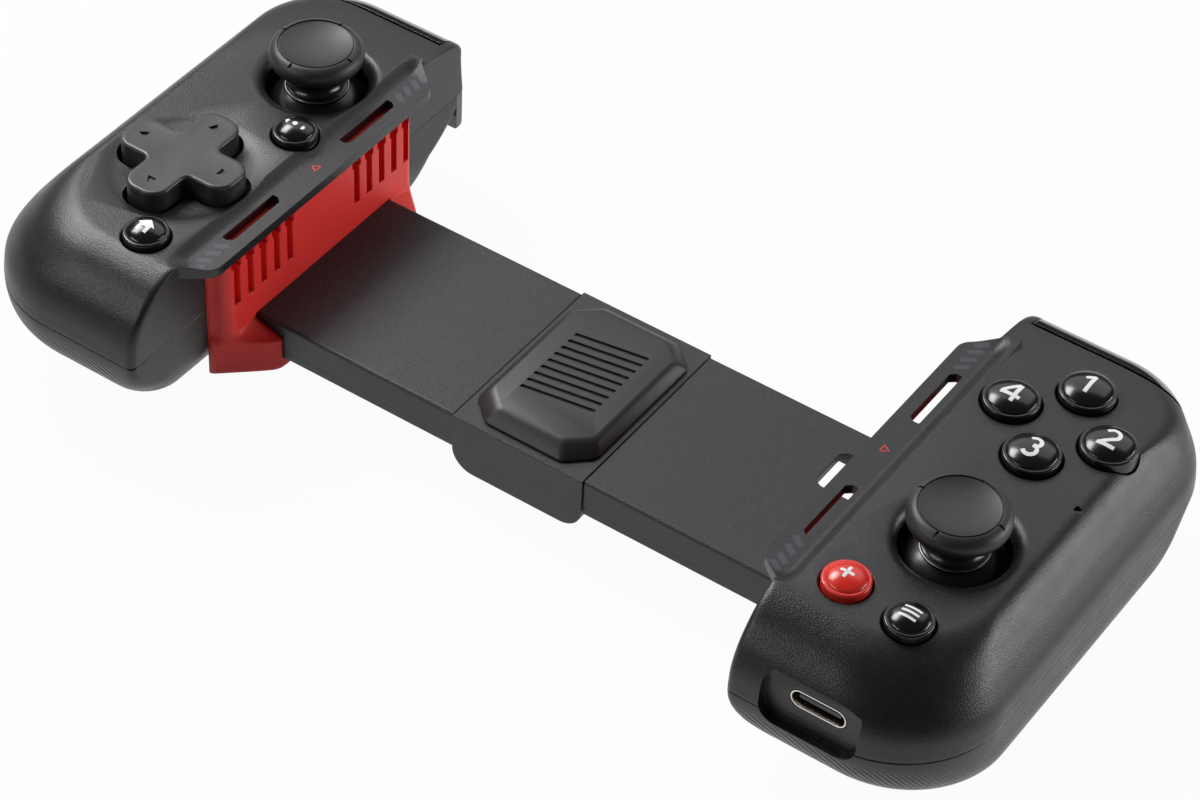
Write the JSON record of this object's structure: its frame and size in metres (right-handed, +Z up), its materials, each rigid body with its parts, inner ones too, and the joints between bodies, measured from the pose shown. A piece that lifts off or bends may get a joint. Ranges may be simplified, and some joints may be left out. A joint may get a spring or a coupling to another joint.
{
  "type": "mobile game controller",
  "caption": "Telescoping game controller that clamps a phone between two grips, with thumbsticks, round keys, a cross pad, shoulder keys and a geared bridge",
  "frame": {"origin": "middle of the footprint, on the surface that the grips rest on, slide closed", "axes": "+X from the left grip to the right one, +Y away from the player, +Z up"},
  "size_m": [0.1728, 0.083, 0.0354],
  "materials": {
    "shell": "fine textured black plastic",
    "gloss": "polished black plastic",
    "red_key": "polished red plastic",
    "red_rubber": "matte red rubber",
    "plate": "fine textured dark grey plastic",
    "pad": "moulded dark rubber",
    "cap": "matte black rubber",
    "steel": "bright steel",
    "brass": "turned brass",
    "board": "green solder mask",
    "mat": "pale silicone",
    "cell": "foil pouch",
    "inner": "moulded grey plastic",
    "light": "clear light guide"
  },
  "bodies": {
    "middle": {"bridge_housing": "plate", "bridge_cap": "plate", "bridge_screws": "steel", "phone_pad": "pad", "pinion_pin": "steel", "left_return_spring": "steel", "right_return_spring": "steel"},
    "pinion": {"sync_pinion": "brass"},
    "left_grip": {"left_upper_case": "shell", "left_lower_case": "shell", "left_case_screws": "steel", "left_circuit_board": "board", "left_stick_housing": "inner", "left_key_mat": "mat", "left_cradle": "red_rubber", "left_plate_cover": "plate", "left_plate_base": "plate", "left_plate_screws": "steel", "left_rack_arm": "steel", "left_trigger_pin": "steel", "left_trigger_spring": "steel", "battery": "cell", "dpad_base": "inner"},
    "left_stick_bow": {"left_stick_bow": "steel"},
    "left_stick_shaft": {"left_stick_shaft": "steel"},
    "left_stick": {"left_stick_neck": "gloss", "left_stick_cap": "cap"},
    "left_bumper": {"left_bumper": "gloss"},
    "left_trigger": {"left_trigger": "gloss"},
    "right_grip": {"right_upper_case": "shell", "right_lower_case": "shell", "right_case_screws": "steel", "right_circuit_board": "board", "right_stick_housing": "inner", "right_key_mat": "mat", "right_cradle": "red_rubber", "right_plate_cover": "plate", "right_plate_base": "plate", "right_plate_screws": "steel", "right_rack_arm": "steel", "right_trigger_pin": "steel", "right_trigger_spring": "steel", "usb_port": "steel", "light_pipe": "light"},
    "right_stick_bow": {"right_stick_bow": "steel"},
    "right_stick_shaft": {"right_stick_shaft": "steel"},
    "right_stick": {"right_stick_neck": "gloss", "right_stick_cap": "cap"},
    "right_bumper": {"right_bumper": "gloss"},
    "right_trigger": {"right_trigger": "gloss"},
    "dpad_ring": {"dpad_ring": "steel"},
    "dpad": {"dpad_cross": "cap"},
    "home_button": {"home_button": "gloss"},
    "view_button": {"view_button": "gloss"},
    "link_button": {"link_button": "red_key"},
    "menu_button": {"menu_button": "gloss"},
    "face_button_1": {"face_button_1": "gloss"},
    "face_button_2": {"face_button_2": "gloss"},
    "face_button_3": {"face_button_3": "gloss"},
    "face_button_4": {"face_button_4": "gloss"}
  },
  "joints": [
    {"name": "left_slide", "type": "slide", "parent": "middle", "child": "left_grip", "axis": [-1, 0, 0], "range_m": [0, 0.036], "stiffness_N_per_m": 30, "springref_m": -0.01, "deforming": ["left_return_spring"]},
    {"name": "left_stick_rock", "type": "hinge", "parent": "left_grip", "child": "left_stick_bow", "pos_m": [-0.0635, 0.0174, 0.0183], "axis": [1, 0, 0], "range_deg": [-11.5, 11.5], "stiffness_Nm_per_rad": 0.05},
    {"name": "left_stick_roll", "type": "hinge", "parent": "left_stick_bow", "child": "left_stick_shaft", "pos_m": [-0.0635, 0.0174, 0.0183], "axis": [0, 1, 0], "range_deg": [-11.5, 11.5], "stiffness_Nm_per_rad": 0.05},
    {"name": "left_stick_click", "type": "slide", "parent": "left_stick_shaft", "child": "left_stick", "axis": [0, 0, -1], "range_m": [0, 0.0004], "stiffness_N_per_m": 1500},
    {"name": "left_bumper_press", "type": "slide", "parent": "left_grip", "child": "left_bumper", "axis": [0, -1, 0], "range_m": [0, 0.0005], "stiffness_N_per_m": 1500},
    {"name": "left_trigger_pull", "type": "hinge", "parent": "left_grip", "child": "left_trigger", "pos_m": [-0.063, 0.038, 0.0136], "axis": [-1, 0, 0], "range_deg": [0, 18], "stiffness_Nm_per_rad": 0.05},
    {"name": "right_slide", "type": "slide", "parent": "middle", "child": "right_grip", "axis": [1, 0, 0], "range_m": [0, 0.036], "stiffness_N_per_m": 30, "springref_m": -0.01, "deforming": ["right_return_spring"]},
    {"name": "right_stick_rock", "type": "hinge", "parent": "right_grip", "child": "right_stick_bow", "pos_m": [0.0684, -0.0092, 0.0183], "axis": [1, 0, 0], "range_deg": [-11.5, 11.5], "stiffness_Nm_per_rad": 0.05},
    {"name": "right_stick_roll", "type": "hinge", "parent": "right_stick_bow", "child": "right_stick_shaft", "pos_m": [0.0684, -0.0092, 0.0183], "axis": [0, 1, 0], "range_deg": [-11.5, 11.5], "stiffness_Nm_per_rad": 0.05},
    {"name": "right_stick_click", "type": "slide", "parent": "right_stick_shaft", "child": "right_stick", "axis": [0, 0, -1], "range_m": [0, 0.0004], "stiffness_N_per_m": 1500},
    {"name": "right_bumper_press", "type": "slide", "parent": "right_grip", "child": "right_bumper", "axis": [0, -1, 0], "range_m": [0, 0.0005], "stiffness_N_per_m": 1500},
    {"name": "right_trigger_pull", "type": "hinge", "parent": "right_grip", "child": "right_trigger", "pos_m": [0.063, 0.038, 0.0136], "axis": [-1, 0, 0], "range_deg": [0, 18], "stiffness_Nm_per_rad": 0.05},
    {"name": "dpad_rock", "type": "hinge", "parent": "left_grip", "child": "dpad_ring", "pos_m": [-0.066, -0.0121, 0.0228], "axis": [1, 0, 0], "range_deg": [-4, 4], "stiffness_Nm_per_rad": 0.08},
    {"name": "dpad_roll", "type": "hinge", "parent": "dpad_ring", "child": "dpad", "pos_m": [-0.066, -0.0121, 0.0228], "axis": [0, 1, 0], "range_deg": [-4, 4], "stiffness_Nm_per_rad": 0.08},
    {"name": "pinion_spin", "type": "hinge", "parent": "middle", "child": "pinion", "pos_m": [0, 0, 0.00875], "axis": [0, 0, 1], "range_deg": [-258, 0]},
    {"name": "home_button_press", "type": "slide", "parent": "left_grip", "child": "home_button", "axis": [0, 0, -1], "range_m": [0, 0.001], "stiffness_N_per_m": 400},
    {"name": "view_button_press", "type": "slide", "parent": "left_grip", "child": "view_button", "axis": [0, 0, -1], "range_m": [0, 0.001], "stiffness_N_per_m": 400},
    {"name": "link_button_press", "type": "slide", "parent": "right_grip", "child": "link_button", "axis": [0, 0, -1], "range_m": [0, 0.001], "stiffness_N_per_m": 400},
    {"name": "menu_button_press", "type": "slide", "parent": "right_grip", "child": "menu_button", "axis": [0, 0, -1], "range_m": [0, 0.001], "stiffness_N_per_m": 400},
    {"name": "face_button_1_press", "type": "slide", "parent": "right_grip", "child": "face_button_1", "axis": [0, 0, -1], "range_m": [0, 0.001], "stiffness_N_per_m": 400},
    {"name": "face_button_2_press", "type": "slide", "parent": "right_grip", "child": "face_button_2", "axis": [0, 0, -1], "range_m": [0, 0.001], "stiffness_N_per_m": 400},
    {"name": "face_button_3_press", "type": "slide", "parent": "right_grip", "child": "face_button_3", "axis": [0, 0, -1], "range_m": [0, 0.001], "stiffness_N_per_m": 400},
    {"name": "face_button_4_press", "type": "slide", "parent": "right_grip", "child": "face_button_4", "axis": [0, 0, -1], "range_m": [0, 0.001], "stiffness_N_per_m": 400}
  ],
  "couplings": [
    {"joint": "right_slide", "follows": "left_slide", "ratio": 1},
    {"joint": "pinion_spin", "follows": "left_slide", "rad_per_m": -125}
  ]
}
